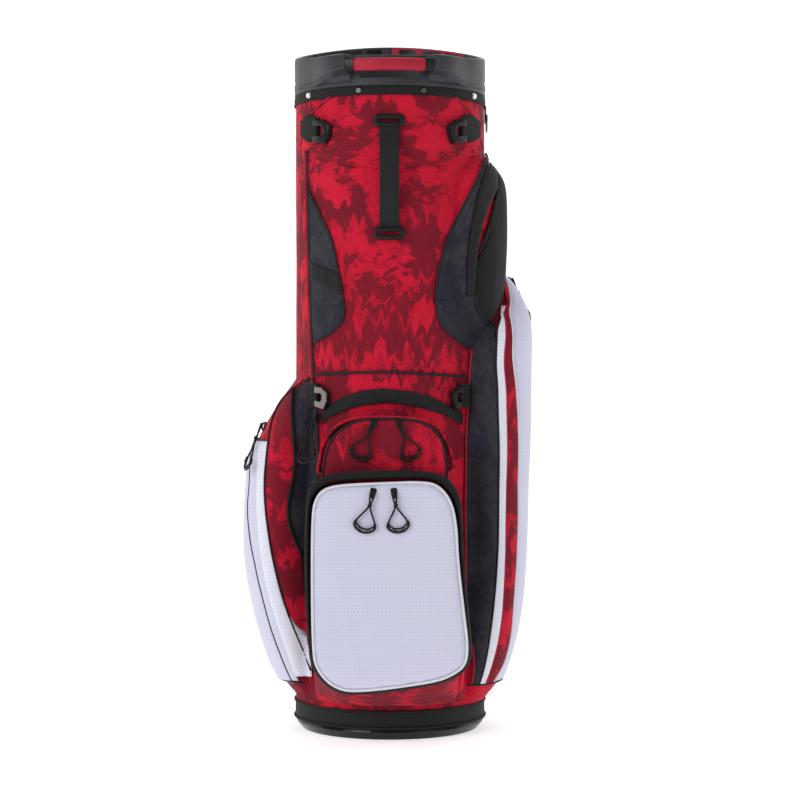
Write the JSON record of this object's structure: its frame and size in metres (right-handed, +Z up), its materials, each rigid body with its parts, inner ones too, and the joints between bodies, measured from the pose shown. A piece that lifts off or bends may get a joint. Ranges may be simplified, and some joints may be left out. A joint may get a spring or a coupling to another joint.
{
  "type": "golf stand bag",
  "caption": "Upright stand bag for golf clubs with a moulded collar, zipped pockets, carry handle and rear legs that a hinged heel plate swings out.",
  "frame": {"origin": "middle of the base's underside, on the tube's axis", "axes": "+Z up along the tube, -Y towards the strap side with the ball pocket, +Y towards the legs, +X to the right seen from the strap side"},
  "size_m": [0.3752, 0.378, 0.899],
  "materials": {
    "aluminium": "satin",
    "black_plastic": "satin",
    "black_rubber": "matte",
    "black_webbing": "matte",
    "charcoal_plastic": "satin",
    "dark_fabric": "matte",
    "red_fabric": "matte",
    "red_rubber": "matte",
    "steel": "satin",
    "white_fabric": "matte"
  },
  "bodies": {
    "frame": {"accessory_pocket": "red_fabric", "ball_pocket": "dark_fabric", "base_cup": "black_plastic", "body_shell": "red_fabric", "bottle_sleeve": "dark_fabric", "collar": "charcoal_plastic", "divider_panels": "dark_fabric", "front_grip": "red_rubber", "handle_frame_lower": "black_plastic", "handle_frame_upper": "black_plastic", "kick_plate_pin": "steel", "left_pocket": "red_fabric", "leg_bracket": "black_plastic", "leg_bumper": "black_rubber", "leg_pin_left": "steel", "leg_pin_right": "steel", "rear_grip": "red_rubber", "right_pocket": "white_fabric", "ring_tab": "black_webbing", "rivet_1": "steel", "rivet_2": "steel", "rivet_3": "steel", "rivet_4": "steel", "spine_handle": "black_webbing", "stay_rod_front_left": "aluminium", "stay_rod_front_right": "aluminium", "stay_rod_rear_left": "aluminium", "stay_rod_rear_right": "aluminium", "top_binding": "black_webbing", "top_divider": "black_plastic", "wire_guide": "black_plastic"},
    "kick_plate": {"kick_plate": "black_plastic"},
    "leg_left": {"leg_head_left": "black_plastic", "leg_tube_left": "aluminium", "leg_foot_left": "black_rubber"},
    "leg_right": {"leg_head_right": "black_plastic", "leg_tube_right": "aluminium", "leg_foot_right": "black_rubber"},
    "actuator_wire": {"actuator_wire": "steel"},
    "ball_pocket_door": {"ball_pocket_door": "white_fabric"},
    "towel_ring": {"towel_ring": "steel"},
    "clip_lower_left": {"clip_lower_left": "black_plastic"},
    "clip_lower_right": {"clip_lower_right": "black_plastic"},
    "clip_upper_left": {"clip_upper_left": "black_plastic"},
    "clip_upper_right": {"clip_upper_right": "black_plastic"},
    "pull_accessory_left": {"pull_accessory_left": "black_rubber"},
    "pull_accessory_right": {"pull_accessory_right": "black_rubber"},
    "pull_ball_left": {"pull_ball_left": "black_rubber"},
    "pull_ball_right": {"pull_ball_right": "black_rubber"},
    "pull_left_pocket": {"pull_left_pocket": "black_rubber"},
    "pull_right_pocket": {"pull_right_pocket": "black_rubber"},
    "pull_slash_pocket": {"pull_slash_pocket": "black_rubber"},
    "slider_accessory_left": {"slider_accessory_left": "black_plastic"},
    "slider_accessory_right": {"slider_accessory_right": "black_plastic"},
    "slider_ball_left": {"slider_ball_left": "black_plastic"},
    "slider_ball_right": {"slider_ball_right": "black_plastic"},
    "slider_left_pocket": {"slider_left_pocket": "black_plastic"},
    "slider_right_pocket": {"slider_right_pocket": "black_plastic"},
    "slider_slash_pocket": {"slider_slash_pocket": "black_plastic"}
  },
  "joints": [
    {"name": "leg_left_swing", "type": "hinge", "parent": "frame", "child": "leg_left", "pos_m": [-0.045, 0.147, 0.775], "axis": [0.9272, 0.3746, 0], "range_deg": [0, 32]},
    {"name": "leg_right_swing", "type": "hinge", "parent": "frame", "child": "leg_right", "pos_m": [0.045, 0.147, 0.775], "axis": [0.9272, -0.3746, 0], "range_deg": [0, 32.2]},
    {"name": "actuator_slide", "type": "slide", "parent": "frame", "child": "actuator_wire", "axis": [0, 0, 1], "range_m": [0, 0.0121]},
    {"name": "kick_plate_hinge", "type": "hinge", "parent": "frame", "child": "kick_plate", "pos_m": [0, 0.032, 0.0085], "axis": [1, 0, 0], "range_deg": [0, 7.3]},
    {"name": "ball_pocket_door_hinge", "type": "hinge", "parent": "frame", "child": "ball_pocket_door", "pos_m": [-0.004, -0.1905, 0.072], "axis": [1, 0, 0], "range_deg": [0, 75]},
    {"name": "zip_ball_left", "type": "slide", "parent": "ball_pocket_door", "child": "slider_ball_left", "axis": [-1, 0, 0], "range_m": [0, 0.045]},
    {"name": "pull_ball_left_hinge", "type": "hinge", "parent": "slider_ball_left", "child": "pull_ball_left", "pos_m": [-0.01969, -0.1997, 0.31426], "axis": [-1, 0, 0], "range_deg": [0, 100]},
    {"name": "zip_ball_right", "type": "slide", "parent": "ball_pocket_door", "child": "slider_ball_right", "axis": [1, 0, 0], "range_m": [0, 0.045]},
    {"name": "pull_ball_right_hinge", "type": "hinge", "parent": "slider_ball_right", "child": "pull_ball_right", "pos_m": [0.00584, -0.1997, 0.31429], "axis": [-1, 0, 0], "range_deg": [0, 100]},
    {"name": "zip_accessory_left", "type": "slide", "parent": "frame", "child": "slider_accessory_left", "axis": [-1, 0, 0], "range_m": [0, 0.022]},
    {"name": "pull_accessory_left_hinge", "type": "hinge", "parent": "slider_accessory_left", "child": "pull_accessory_left", "pos_m": [-0.01946, -0.17, 0.39718], "axis": [-1, 0, 0], "range_deg": [0, 100]},
    {"name": "zip_accessory_right", "type": "slide", "parent": "frame", "child": "slider_accessory_right", "axis": [1, 0, 0], "range_m": [0, 0.022]},
    {"name": "pull_accessory_right_hinge", "type": "hinge", "parent": "slider_accessory_right", "child": "pull_accessory_right", "pos_m": [0.01151, -0.17, 0.3972], "axis": [-1, 0, 0], "range_deg": [0, 100]},
    {"name": "zip_left_pocket", "type": "slide", "parent": "frame", "child": "slider_left_pocket", "axis": [-0.3622, -0.1107, -0.9255], "range_m": [0, 0.02]},
    {"name": "pull_left_pocket_hinge", "type": "hinge", "parent": "slider_left_pocket", "child": "pull_left_pocket", "pos_m": [-0.16397, -0.05337, 0.39377], "axis": [-0.309, 0.9511, 0], "range_deg": [0, 100]},
    {"name": "zip_slash_pocket", "type": "slide", "parent": "frame", "child": "slider_slash_pocket", "axis": [0, 0, -1], "range_m": [0, 0.012]},
    {"name": "pull_slash_pocket_hinge", "type": "hinge", "parent": "slider_slash_pocket", "child": "pull_slash_pocket", "pos_m": [-0.09401, -0.09139, 0.40316], "axis": [-0.766, 0.6428, 0], "range_deg": [0, 100]},
    {"name": "zip_right_pocket", "type": "slide", "parent": "frame", "child": "slider_right_pocket", "axis": [0.4708, 0.1903, -0.8615], "range_m": [0, 0.015]},
    {"name": "pull_right_pocket_hinge", "type": "hinge", "parent": "slider_right_pocket", "child": "pull_right_pocket", "pos_m": [0.16265, 0.06513, 0.58376], "axis": [0.2419, -0.9703, 0], "range_deg": [0, 100]},
    {"name": "clip_upper_left_hinge", "type": "hinge", "parent": "frame", "child": "clip_upper_left", "pos_m": [-0.08565, -0.09512, 0.781], "axis": [-0.7431, 0.6691, 0], "range_deg": [0, 80]},
    {"name": "clip_upper_right_hinge", "type": "hinge", "parent": "frame", "child": "clip_upper_right", "pos_m": [0.08565, -0.09512, 0.781], "axis": [-0.7431, -0.6691, 0], "range_deg": [0, 80]},
    {"name": "clip_lower_left_hinge", "type": "hinge", "parent": "frame", "child": "clip_lower_left", "pos_m": [-0.08565, -0.09512, 0.445], "axis": [-0.7431, 0.6691, 0], "range_deg": [0, 80]},
    {"name": "clip_lower_right_hinge", "type": "hinge", "parent": "frame", "child": "clip_lower_right", "pos_m": [0.08565, -0.09512, 0.445], "axis": [-0.7431, -0.6691, 0], "range_deg": [0, 80]},
    {"name": "towel_ring_hinge", "type": "hinge", "parent": "frame", "child": "towel_ring", "pos_m": [0.1257, 0, 0.7935], "axis": [0, -1, 0], "range_deg": [0, 90]}
  ],
  "couplings": [
    {"joint": "leg_right_swing", "follows": "leg_left_swing", "ratio": 1},
    {"joint": "actuator_slide", "follows": "leg_left_swing", "m_per_rad": 0.0215},
    {"joint": "kick_plate_hinge", "follows": "leg_left_swing", "ratio": 0.225}
  ]
}
